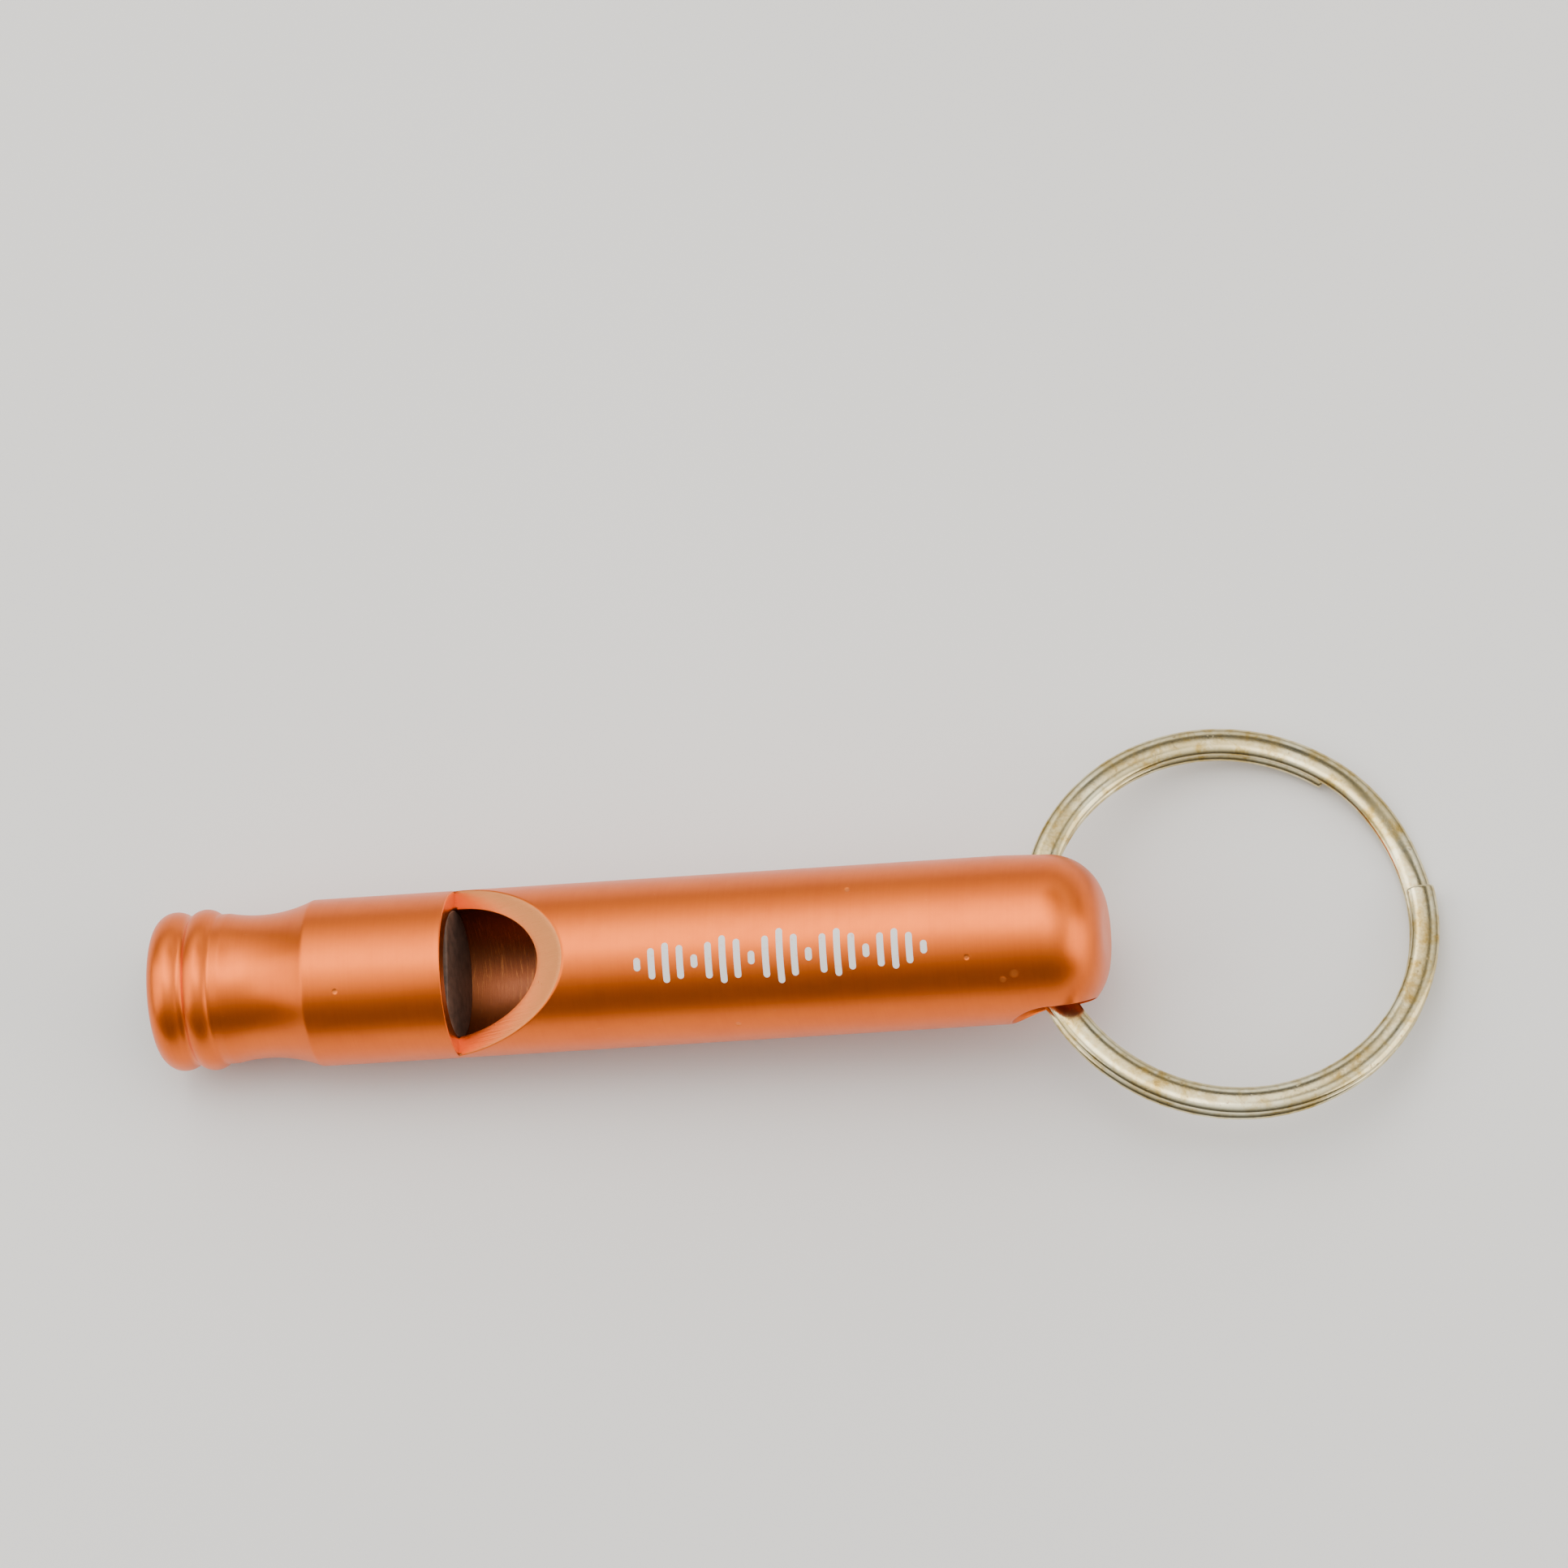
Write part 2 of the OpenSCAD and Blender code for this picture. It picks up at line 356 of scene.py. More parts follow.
    def window_faces(self):
        """The straight cut and the ramp, each with softened edges that fade out at the ramp's foot."""
        s, width = self.s, self.break_width
        turn_out, turn_in = self.t * self.outer_half, self.t * self.inner_half
        tip_out = s.cut_at + (self.bar * np.cos(turn_out) - s.window_foot) / self.slope
        tip_in = s.cut_at + (s.bore_radius * np.cos(turn_in) - s.window_foot) / self.slope
        faces = []
        for out_x, in_x, away in ((s.cut_at, s.cut_at, -1.0), (tip_out, tip_in, 1.0)):
            edge_out = self.at(out_x, turn_out, self.bar)
            edge_in = self.at(in_x, turn_in, s.bore_radius)
            across = edge_out - edge_in
            across /= np.linalg.norm(across, axis=-1, keepdims=True)
            lip = width * (0.45 if away > 0 else 1.0)
            bore_side = self.at(in_x + away * lip, turn_in, s.bore_radius)
            skin_side = self.at(out_x + away * width, turn_out, self.bar)
            face_in = edge_in + across * lip[:, None]
            face_out = edge_out - across * width[:, None]
            faces.append(np.concatenate([
                curve_between(bore_side, edge_in, face_in, BREAK_STEPS),
                line_between(face_in, face_out, FACE_STEPS)[1:],
                curve_between(face_out, edge_out, skin_side, BREAK_STEPS)[1:],
            ]))
        self.tip_out, self.tip_in = tip_out, tip_in
        return faces

    def rear_bore(self):
        """Bore wall from the window back to the drill point, ending in a closed cone."""
        s = self.s
        start = self.everywhere(self.tip_in + self.break_width * 0.45, s.cut_at)
        middle = 24.6 * MM
        k = np.linspace(0, 1, 25)[:, None]
        near = self.at(start * (1 - k) + middle * k, self.inner_turn, s.bore_radius)
        far_x = np.linspace(middle, s.bore_depth, 16)[1:, None]
        far = self.at(far_x, self.inner_turn, s.bore_radius)
        c = np.linspace(0, 1, 13)[1:, None]
        cone = self.at(s.bore_depth + s.drill_point * c, self.inner_turn, s.bore_radius * (1 - c))
        return np.concatenate([near, far, cone])

    def grip(self, last_x):
        """Skin from the window back along the grip; its columns end at even angles from the top."""
        s = self.s
        start = self.everywhere(self.tip_out + self.break_width, s.cut_at)
        middle = 26.5 * MM
        k = np.linspace(0, 1, 31)[:, None]
        near = self.at(start * (1 - k) + middle * k, self.outer_turn, self.bar)
        step = 2 * math.pi / ROUND_CELLS
        even = (np.arange(ROUND_CELLS + 1) - WINDOW_CELLS // 2 + 3) * step - s.window_turn
        f = np.linspace(0, 1, 41)[1:, None]
        turn = self.outer_turn * (1 - f) + even * f
        far = self.at(middle * (1 - f) + last_x * f, turn, self.bar)
        return np.concatenate([near, far])

    def tail_outline(self):
        """Outline of the bar and tail: straight, then a slight taper that meets the rounding's arc as
        its tangent."""
        s = self.s
        centre = (self.length - s.tail_radius, self.bar - s.tail_ease - s.tail_radius)
        run, rise = centre[0] - s.ease_at, self.bar - centre[1]
        touch = math.pi - math.atan2(rise, run) - math.acos(s.tail_radius / math.hypot(run, rise))
        arc = self.arc(centre, s.tail_radius, math.degrees(touch), 0, 400)
        start = [[0.0, self.bar], [s.ease_at, self.bar]]
        return softened(resample(np.concatenate([start, arc]), 0.01 * MM))

    def on_tail(self, u, phi):
        """Point of the tail at a length u along its outline and an angle phi from the top."""
        x = np.interp(u, self.tail_run, self.tail_path[:, 0])
        radius = np.interp(u, self.tail_run, self.tail_path[:, 1])
        return about_axis(x + self.mouth, phi, radius)

    def hole_edge(self, alpha):
        """Where the ring hole meets the skin, at an angle alpha round the hole: the length along the
        outline to x = middle + r cos alpha, and the angle from the top whose cosine is z / radius."""
        s = self.s
        x = s.hole_at + s.hole_radius * np.cos(alpha)
        z = -s.hole_drop + s.hole_radius * np.sin(alpha)
        radius = np.interp(x, self.tail_path[:, 0], self.tail_path[:, 1])
        return np.interp(x, self.tail_path[:, 0], self.tail_run), np.arccos(z / radius)

    def tail(self, first_u, last_u):
        """Tail with its cross hole: strips over and under the hole, a ring of cells that blends each
        round edge into a rectangle of the skin's grid, the hole's wall, and the closed end."""
        s = self.s
        step = 2 * math.pi / ROUND_CELLS
        # On each side the hole lies between these two columns of the skin's grid.
        top, bottom, along = 32, 78, 40
        u = np.linspace(first_u, last_u, along + 1)
        patches = []
        for first, last in ((-top, top), (bottom, ROUND_CELLS - bottom)):
            phi = np.arange(first, last + 1) * step
            patches.append(self.on_tail(u[:, None], phi[None, :]))
        phi = np.arange(top, bottom + 1) * step
        ends = (np.full(len(phi), u[0]), np.full(len(phi), u[-1]))
        border_u = np.concatenate([ends[0][:-1], u[:-1], ends[1][1:][::-1], u[::-1]])
        border_phi = np.concatenate([
            phi[:-1], np.full(along, phi[-1]), phi[1:][::-1], np.full(along + 1, phi[0]),
        ])
        fine = np.linspace(-math.pi, math.pi, 2001)
        edge_u, edge_phi = self.hole_edge(fine)
        middle_u, middle_phi = edge_u.mean(), edge_phi.mean()
        heading = np.unwrap(np.arctan2((edge_phi - middle_phi) * self.bar, edge_u - middle_u))
        wanted = np.arctan2((border_phi - middle_phi) * self.bar, border_u - middle_u)
        order = np.argsort(heading)
        low = heading.min()
        wanted = low + np.mod(wanted - low, 2 * math.pi)
        alpha = np.interp(wanted, heading[order], fine[order])
        hole_u, hole_phi = self.hole_edge(alpha)
        reach = np.hypot(border_u - hole_u, (border_phi - hole_phi) * self.bar)
        close = s.edge_break * 1.4 / reach
        w = np.linspace(0, 1, 13)[:, None] ** 1.4
        w = close + (1 - close) * w
        ring_u = hole_u * (1 - w) + border_u * w
        ring_phi = hole_phi * (1 - w) + border_phi * w
        walls = []
        for side in (1, -1):
            field = self.on_tail(ring_u, side * ring_phi)
            edge = self.on_tail(hole_u, side * hole_phi)
            inside = edge + np.array([0, side * s.edge_break * 1.4, 0])
            patches += [field, curve_between(field[0], edge, inside, BREAK_STEPS)]
            walls.append(inside)
        patches.append(line_between(walls[0], walls[1], 24))
        end_u = np.linspace(last_u, self.tail_run[-1], 9)
        phi = np.arange(ROUND_CELLS + 1) * step
        patches.append(self.on_tail(end_u[:, None], phi[None, :]))
        flat = self.tail_path[-1, 1] * np.linspace(1, 0, 9)[:, None]
        patches.append(about_axis(self.mouth + self.length, phi[None, :], flat))
        return patches

    def patches(self):
        """All the barrel's surfaces, which weld into one closed shell."""
        first_u, last_u = 50.0 * MM, 58.2 * MM
        window = self.window_faces()
        body = [self.front_sleeve(), *window, self.rear_bore(), self.grip(first_u)]
        return body + self.tail(first_u, last_u)


def resample(path, spacing):
    """Points at even lengths along a path, near the given spacing, with both ends kept."""
    run = np.concatenate([[0.0], np.cumsum(np.linalg.norm(np.diff(path, axis=0), axis=1))])
    keep = np.concatenate([[True], np.diff(run) > 0])
    run, path = run[keep], path[keep]
    even = np.linspace(0, run[-1], max(2, int(round(run[-1] / spacing)) + 1))
    return np.stack([np.interp(even, run, path[:, k]) for k in range(path.shape[1])], axis=-1)


def softened(path):
    """A path softened by a moving average with bell-shaped weights, as tumbling softens corners."""
    reach, spread = 24, 6.0
    weights = np.exp(-0.5 * (np.arange(-reach, reach + 1) / spread) ** 2)
    weights /= weights.sum()
    padded = np.pad(path, ((reach, reach), (0, 0)), mode="edge")
    soft = np.stack([np.convolve(padded[:, k], weights, "valid") for k in (0, 1)], axis=-1)
    soft[0], soft[-1] = path[0], path[-1]
    return soft


# ---------------------------------------------------------------- plug and ring


def plug_patches(s, barrel):
    """A rod with a flat: its closed outline is an arc and a chord, carried from end face to end face
    with rounded edges and drawn in to a point at each end."""
    radius = barrel.bore_radius - s.slack
    height = barrel.bore_radius - s.windway
    half = math.acos(height / radius)
    arc_steps, chord_steps, cap_steps, long_steps = 120, 40, 9, 12
    arc = np.linspace(half, 2 * math.pi - half, arc_steps + 1)
    chord = np.linspace(-radius * math.sin(half), radius * math.sin(half), chord_steps + 1)[1:]
    across = np.concatenate([radius * np.sin(arc), chord])
    up = np.concatenate([radius * np.cos(arc), np.full(chord_steps, height)])
    middle = -0.4 * MM
    first, last = PLUG_BOX[0].x, PLUG_BOX[1].x
    edge = s.edge_break
    bend = np.linspace(0, math.pi / 2, 6)
    cap = np.linspace(0, 1, cap_steps + 1)[:-1]
    inset = np.concatenate([1 - cap * (1 - edge / radius), edge / radius * (1 - np.sin(bend))])
    depth = np.concatenate([cap * 0, edge * (1 - np.cos(bend))])
    along = np.linspace(first + edge, last - edge, long_steps + 2)[1:-1]
    x = np.concatenate([first + depth, along, (last - depth)[::-1]])
    scale = 1 - np.concatenate([inset, np.zeros(long_steps), inset[::-1]])
    side = across[None, :] * scale[:, None]
    rise = middle + (up[None, :] - middle) * scale[:, None]
    turn = barrel.window_turn
    y = -side * math.cos(turn) - rise * math.sin(turn)
    z = rise * math.cos(turn) - side * math.sin(turn)
    return [np.stack([np.broadcast_to(x[:, None], y.shape), y, z], axis=-1)]


def ring_patches(s):
    """One flat wire with crowned faces, coiled twice: the angle falls steadily along the wire, and the
    height eases by a cosine from the upper turn to the lower one over the crossing."""
    start = s.crossing_at + 2 * math.pi
    turn_span = 2 * math.pi - s.crossing_span
    total = 2 * turn_span + s.crossing_span
    # Cross-section: a rounded flat whose faces are crowned.
    q = np.linspace(0, 2 * math.pi, 57)
    cos, sin = np.cos(q), np.sin(q)
    half_w, half_t = s.wire_width / 2 - 0.01 * MM, s.wire_thickness / 2 - 0.005 * MM
    across = half_w * np.sign(cos) * np.abs(cos) ** 0.85
    up = half_t * np.sign(sin) * np.abs(sin) ** 0.95
    # The sheared ends are broken by a short rounding and closed at the middle.
    end, face = 0.13 * MM / s.mid_radius, 0.84
    bend = np.linspace(0, math.pi / 2, 6)
    caps = np.linspace(0, 1, 6)[:-1]
    lead = np.concatenate([caps * 0, end * (1 - np.cos(bend))])
    size = np.concatenate([caps * face, face + (1 - face) * np.sin(bend)])
    run = np.linspace(0, total, 620)
    run = run[(run > end) & (run < total - end)]
    run_all = np.concatenate([lead, run, total - lead[::-1]])
    size_all = np.concatenate([size, np.ones(len(run)), size[::-1]])
    a = start - run_all
    crossing = np.clip((run_all - turn_span) / s.crossing_span, 0, 1)
    height = s.turn_pitch / 2 * np.cos(math.pi * crossing)
    radius = s.mid_radius + across[None, :] * size_all[:, None]
    x = radius * np.cos(a)[:, None]
    y = radius * np.sin(a)[:, None]
    z = height[:, None] + up[None, :] * size_all[:, None]
    flat = np.stack([x, y, z], axis=-1)
    return [placed(flat, ring_pose(s))]


def ring_pose(s):
    """The ring's rest place: slid in its plane, leant in the hole, swung down, and hung in the hole."""
    barrel = bpy.context.scene.whistle_barrel
    hang = Vector((
        mouth_at(barrel) + barrel.hole_at - s.strand_back, 0.0, -barrel.hole_drop - s.strand_drop,
    ))
    return (
        Matrix.Translation(hang)
        @ Matrix.Rotation(s.swing, 4, "Y")
        @ Matrix.Rotation(s.lean, 4, "X")
        @ Matrix.Rotation(s.slide, 4, "Z")
        @ Matrix.Translation((s.mid_radius, 0, 0))
    )


def placed(points, matrix):
    """Points moved by a matrix."""
    m = np.array(matrix)
    return points @ m[:3, :3].T + m[:3, 3]


def mark_patches(s, bar):
    """A row of round-ended bars wrapped on the skin, tall and short by turns like a played note.
    Each is a closed film: its outline is drawn in to its own spine above and below."""
    number = np.arange(s.bars)
    place = (number - (s.bars - 1) / 2) / ((s.bars - 1) / 2)
    swell = 0.24 + 0.76 * np.abs(np.cos(place * math.pi * 2.5)) * (1 - 0.45 * np.abs(place))
    cap_points, side_points, fold = 17, 14, 4
    cap, side = np.linspace(0, math.pi, cap_points), np.linspace(1, -1, side_points + 2)[1:-1]
    still, flat = np.ones(side_points), np.ones(cap_points)
    q = np.concatenate([cap, still * math.pi, cap + math.pi, still * 2 * math.pi, [0.0]])
    end = np.concatenate([flat, side, -flat, side[::-1], [1.0]])
    draw = np.concatenate([np.linspace(0, 1, fold + 1), [1.0, 1.0], np.linspace(1, 0, fold + 1)])[:, None]
    over, edge, under = np.full(fold, 1.0), [0.9, 0.4, -1.0, -1.0], np.full(fold, -1.0)
    radius = (bar + s.film * np.concatenate([over, edge, under]))[:, None]
    patches = []
    for x, tall in zip(s.start + place * s.pitch * (s.bars - 1) / 2, swell * s.height):
        half = s.width / 2
        spine = max(tall / 2 - half, 0.0)
        along = x + half * np.cos(q) * draw
        around = end * spine + half * np.sin(q) * draw
        patches.append(about_axis(along, s.place + around / bar, np.broadcast_to(radius, along.shape)))
    return patches


# ---------------------------------------------------------------- shader tools


class Amount:
    """A number that varies over a surface, so that shader maths reads as plain sums."""

    def __init__(self, build, socket):
        self.build, self.socket = build, socket

    def maths(self, operation, *values):
        return self.build.node("ShaderNodeMath", {"operation": operation}, dict(enumerate(values)))

    def __add__(self, other):
        return self.maths("ADD", self, other)

    def __sub__(self, other):
        return self.maths("SUBTRACT", self, other)

    def __rsub__(self, other):
        return self.maths("SUBTRACT", other, self)

    def __mul__(self, other):
        return self.maths("MULTIPLY", self, other)

    __radd__ = __add__
    __rmul__ = __mul__

    def ramp(self, low, high):
        """0 under low, 1 over high, and smooth between."""
        settings = {"interpolation_type": "SMOOTHSTEP"}
        values = {"Value": self, "From Min": low, "From Max": high}
        return self.build.node("ShaderNodeMapRange", settings, values)


class NodeTree:
    """Adds and links the nodes of one material or surround."""

    def __init__(self, tree):
        self.tree = tree

    def node(self, kind, settings, values, output=0):
        """Adds a node, sets it, then fills its sockets with values or links."""
        node = self.tree.nodes.new(kind)
        for key, value in settings.items():
            setattr(node, key, value)
        for key, value in values.items():
            self.fill(node.inputs[key], value)
        return Amount(self, node.outputs[output])

    def fill(self, socket, value):
        """Links an amount to a socket, or sets a plain value."""
        if isinstance(value, Amount):
            self.tree.links.new(value.socket, socket)
        elif hasattr(value, "__len__") and len(value) == 3 and socket.type == "RGBA":
            socket.default_value = (*value, 1.0)
        else:
            socket.default_value = value


class Finish(NodeTree):
    """One material: a principled shader and the nodes that feed it."""

    def __init__(self, name, **constants):
        self.material = bpy.data.materials.new(name)
        self.material.use_nodes = True
        super().__init__(self.material.node_tree)
        self.tree.nodes.clear()
        self.shader = self.tree.nodes.new("ShaderNodeBsdfPrincipled")
        out = self.tree.nodes.new("ShaderNodeOutputMaterial")
        self.tree.links.new(self.shader.outputs[0], out.inputs["Surface"])
        for key, value in constants.items():
            self.shader.inputs[key.replace("_", " ")].default_value = value
        self.place = self.node("ShaderNodeTexCoord", {}, {}, "Object")

    def feed(self, **values):
        """Feeds the principled shader's sockets."""
        for key, value in values.items():
            self.fill(self.shader.inputs[key.replace("_", " ")], value)

    def stretched(self, x, y, z, place=None):
        """Object coordinates, each stretched by its own factor."""
        settings = {"operation": "MULTIPLY"}
        return self.node("ShaderNodeVectorMath", settings, {0: place or self.place, 1: (x, y, z)})

    def noise(self, place, scale=1.0, detail=3.0, roughness=0.55, distortion=0.0):
        """Soft noise round 0.5."""
        values = {
            "Vector": place, "Scale": scale, "Detail": detail,
            "Roughness": roughness, "Distortion": distortion,
        }
        return self.node("ShaderNodeTexNoise", {}, values)

    def mixed(self, factor, first, second):
        """Blend of two colours."""
        settings = {"data_type": "RGBA", "clamp_factor": True}
        return self.node("ShaderNodeMix", settings, {0: factor, 6: first, 7: second}, 2)

    def near(self, point, reach):
        """1 at a point in millimetres on the piece, falling to 0 at the reach."""
        spot = tuple(v * MM for v in point)
        gap = self.node("ShaderNodeVectorMath", {"operation": "DISTANCE"}, {0: self.place, 1: spot}, "Value")
        return 1 - gap.ramp(reach * 0.35 * MM, reach * MM)

    def axes(self):
        """The three object coordinates as amounts."""
        node = self.tree.nodes.new("ShaderNodeSeparateXYZ")
        self.tree.links.new(self.place.socket, node.inputs[0])
        return [Amount(self, out) for out in node.outputs]

    def bumps(self, *layers):
        """Normal from a stack of (height, strength, depth in millimetres)."""
        normal = None
        for height, strength, depth in layers:
            values = {"Height": height, "Strength": strength, "Distance": depth * MM}
            if normal is not None:
                values["Normal"] = normal
            normal = self.node("ShaderNodeBump", {}, values)
        return normal


def anodised_finish():
    """Satin orange anodising over turned aluminium: fine turning lines round the skin, scratchy drill
    marks in the bore, cutter streaks on the window's paler faces, light scuffs and a few dings."""
    c = bpy.context.scene.whistle_finish
    barrel = bpy.context.scene.whistle_barrel
    f = Finish(
        "anodised_barrel", Metallic=1.0, Coat_Weight=0.12, Coat_Roughness=0.25, Coat_IOR=1.6,
    )
    x = f.axes()[0]
    across = f.stretched(0, 1, 1)
    radius = f.node("ShaderNodeVectorMath", {"operation": "LENGTH"}, {0: across}, "Value")
    drilled = mouth_at(barrel) + barrel.bore_depth + barrel.drill_point
    past_bore = radius.ramp(barrel.bore_radius + 0.01 * MM, barrel.bore_radius + 0.05 * MM)
    bore = (1 - past_bore) * (1 - x.ramp(drilled, drilled + 0.1 * MM))
    start = mouth_at(barrel) + barrel.cut_at
    tip, bar = start + barrel.window_length, BODY_BOX[1].z
    in_window = x.ramp(start - 0.02 * MM, start) * (1 - x.ramp(tip + 0.4 * MM, tip + 0.5 * MM))
    milled = past_bore * (1 - radius.ramp(bar - 0.1 * MM, bar - 0.02 * MM)) * in_window
    lines = f.noise(f.stretched(26000, 260, 260), detail=2.0, roughness=0.7)
    coarse = f.noise(f.stretched(5200, 60, 60), detail=2.0)
    streaks = f.noise(f.stretched(500, 15000, 500), detail=2.0, roughness=0.7)
    grain = f.noise(f.place, scale=9000.0, detail=2.0)
    cloud = f.noise(f.place, scale=170.0, detail=4.0)
    mottle = f.noise(f.place, scale=900.0, detail=4.0, roughness=0.65)
    scuffs = f.noise(f.stretched(900, 5200, 2600), detail=3.0, roughness=0.75, distortion=0.4)
    drill = f.noise(f.stretched(7000, 500, 500), detail=4.0, roughness=0.8, distortion=0.6)
    dings = None
    for point, reach in (
        ((13.9, -3.1, 3.9), 0.34), ((13.2, -3.4, 3.7), 0.26), ((11.2, -2.1, 4.5), 0.2),
        ((8.9, -4.9, -0.9), 0.5), ((4.1, 2.5, 4.3), 0.22), ((-26.9, -1.8, 4.6), 0.2),
        ((-31.4, -3.3, 3.2), 0.25), ((16.0, -3.0, 2.9), 0.3), ((-3.0, -4.6, 1.9), 0.22),
    ):
        spot = f.near(point, reach)
        dings = spot if dings is None else dings + spot
    worn = scuffs.ramp(0.66, 0.78) * 0.5 + dings * 0.6
    plain = 1 - bore - milled
    shade = cloud.ramp(0.3, 0.7) * 0.5 + mottle.ramp(0.35, 0.75) * 0.3 + coarse.ramp(0.4, 0.7) * 0.2
    skin = f.mixed(shade * 0.35, c.anodised, c.anodised_deep)
    skin = f.mixed(worn * plain * 0.5, skin, c.anodised_pale)
    skin = f.mixed(milled * (0.75 + streaks * 0.5), skin, c.milled)
    wiped = tuple(0.45 * a + 0.55 * b for a, b in zip(c.anodised_pale, c.drilled))
    # The whole bore wall, up to the drill point, takes the darker drilled colour, with paler streaks along
    # the drill marks.
    hollow = f.mixed(drill.ramp(0.52, 0.7) * cloud.ramp(0.4, 0.6), c.drilled, wiped)
    colours = f.mixed(bore, skin, hollow)
    rough = 0.31 + mottle * 0.08 + lines * 0.05 + bore * 0.1 - milled * 0.08 + worn * 0.1
    normal = f.bumps(
        (lines * plain, 0.5, 0.005), (coarse * plain, 0.35, 0.006), (grain, 0.42, 0.006),
        (streaks * milled, 0.8, 0.014), (drill * bore, 0.7, 0.02), (1 - dings, 0.5, 0.05),
    )
    f.feed(Base_Color=colours, Roughness=rough, Normal=normal)
    return f.material


def plug_finish():
    """Matt moulded plug: faint flow marks, dusty patches and a fine grain."""
    c = bpy.context.scene.whistle_finish
    f = Finish("plug_taupe", Specular_IOR_Level=0.45)
    flow = f.noise(f.stretched(240, 1500, 1500), detail=3.0)
    grain = f.noise(f.place, scale=7000.0, detail=3.0)
    dust = f.noise(f.place, scale=1400.0, detail=4.0, roughness=0.7)
    pale = tuple(min(1.0, v * 1.9 + 0.02) for v in c.plug)
    dark = tuple(v * 0.6 for v in c.plug)
    tint = f.mixed(flow.ramp(0.35, 0.68), c.plug, dark)
    tint = f.mixed(dust.ramp(0.58, 0.75) * 0.6, tint, pale)
    normal = f.bumps((flow, 0.3, 0.02), (grain, 0.3, 0.006))
    f.feed(Base_Color=tint, Roughness=0.5 + grain * 0.2, Normal=normal)
    return f.material


def ring_finish():
    """Nickel-plated spring steel: yellow tarnish in cloudy patches, with brown stains and small pits."""
    c = bpy.context.scene.whistle_finish
    f = Finish("nickel_ring", Metallic=1.0)
    cloud = f.noise(f.place, scale=240.0, detail=5.0, roughness=0.6)
    patch = f.noise(f.place, scale=900.0, detail=5.0, roughness=0.7, distortion=0.3)
    fine = f.noise(f.place, scale=4200.0, detail=4.0, roughness=0.7)
    pits = f.noise(f.place, scale=2600.0, detail=3.0, roughness=0.6)
    film = cloud.ramp(0.38, 0.62) * 0.55 + patch.ramp(0.42, 0.66) * 0.5
    stain = patch.ramp(0.6, 0.72) * cloud.ramp(0.45, 0.6)
    tint = f.mixed(film, c.nickel, c.tarnish)
    tint = f.mixed(stain * 0.7, tint, c.rust)
    tint = f.mixed(pits.ramp(0.66, 0.74) * 0.5, tint, c.rust)
    rough = 0.11 + film * 0.09 + stain * 0.22 + fine * 0.06
    normal = f.bumps((patch, 0.25, 0.02), (fine, 0.3, 0.006), (1 - pits.ramp(0.66, 0.74), 0.5, 0.012))
    f.feed(Base_Color=tint, Roughness=rough, Normal=normal)
    return f.material


def ink_finish():
    """Silver-white printing ink, a little thin and rubbed in places."""
    c = bpy.context.scene.whistle_finish
    f = Finish("printed_ink", Specular_IOR_Level=0.4)
    rub = f.noise(f.place, scale=2600.0, detail=4.0, roughness=0.7)
    wide = f.noise(f.place, scale=500.0, detail=3.0)
    thin = tuple(0.6 * a + 0.4 * b for a, b in zip(c.ink, c.anodised))
    tint = f.mixed(rub.ramp(0.56, 0.7) * wide.ramp(0.4, 0.65), c.ink, thin)
    normal = f.bumps((rub, 0.3, 0.005))
    f.feed(Base_Color=tint, Roughness=0.34 + rub * 0.16, Normal=normal)
    return f.material


def floor_finish():
    """Pale matt board with the slightest tone and tooth."""
    c = bpy.context.scene.whistle_finish
    f = Finish("pale_floor", Specular_IOR_Level=0.3)
    tone = f.noise(f.place, scale=14.0, detail=3.0)
    tooth = f.noise(f.place, scale=2500.0, detail=2.0)
    dim = tuple(v * 0.97 for v in c.floor)
    tint = f.mixed(tone.ramp(0.3, 0.7), c.floor, dim)
    f.feed(Base_Color=tint, Roughness=0.6 + tooth * 0.1, Normal=f.bumps((tooth, 0.1, 0.02)))
    return f.material


# ---------------------------------------------------------------- operators


class WHISTLE_OT_barrel(bpy.types.Operator):
    """Build the barrel's skin with its rim, waist, sound window, bore and ring hole"""

    bl_idname = "whistle.barrel"
    bl_label = "Barrel"

    def execute(self, context):
        shape = BarrelShape(context.scene.whistle_barrel)
        piece = make_piece("barrel_skin", shape.patches(), "barrel", anodised_finish())
        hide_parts("whistle_body")
        return {"FINISHED"}


class WHISTLE_OT_plug(bpy.types.Operator):
    """Build the windway plug"""

    bl_idname = "whistle.plug"
    bl_label = "Windway plug"

    def execute(self, context):
        scene = context.scene
        patches = plug_patches(scene.whistle_plug, scene.whistle_barrel)
        piece = make_piece("plug_skin", patches, "barrel", plug_finish())
        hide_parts("windway_plug")
        return {"FINISHED"}


class WHISTLE_OT_ring(bpy.types.Operator):
    """Build the split ring from one coiled wire"""

    bl_idname = "whistle.ring"
    bl_label = "Split ring"

    def execute(self, context):
        patches = ring_patches(context.scene.whistle_ring)
        piece = make_piece("split_ring_wire", patches, "ring", ring_finish())
        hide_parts("split_ring")
        return {"FINISHED"}


class WHISTLE_OT_mark(bpy.types.Operator):
    """Print a plain row of sound bars on the grip"""

    bl_idname = "whistle.mark"
    bl_label = "Printed sound bars"

    def execute(self, context):
        patches = mark_patches(context.scene.whistle_mark, BODY_BOX[1].z)
        make_piece("printed_bars", patches, "barrel", ink_finish())
        return {"FINISHED"}


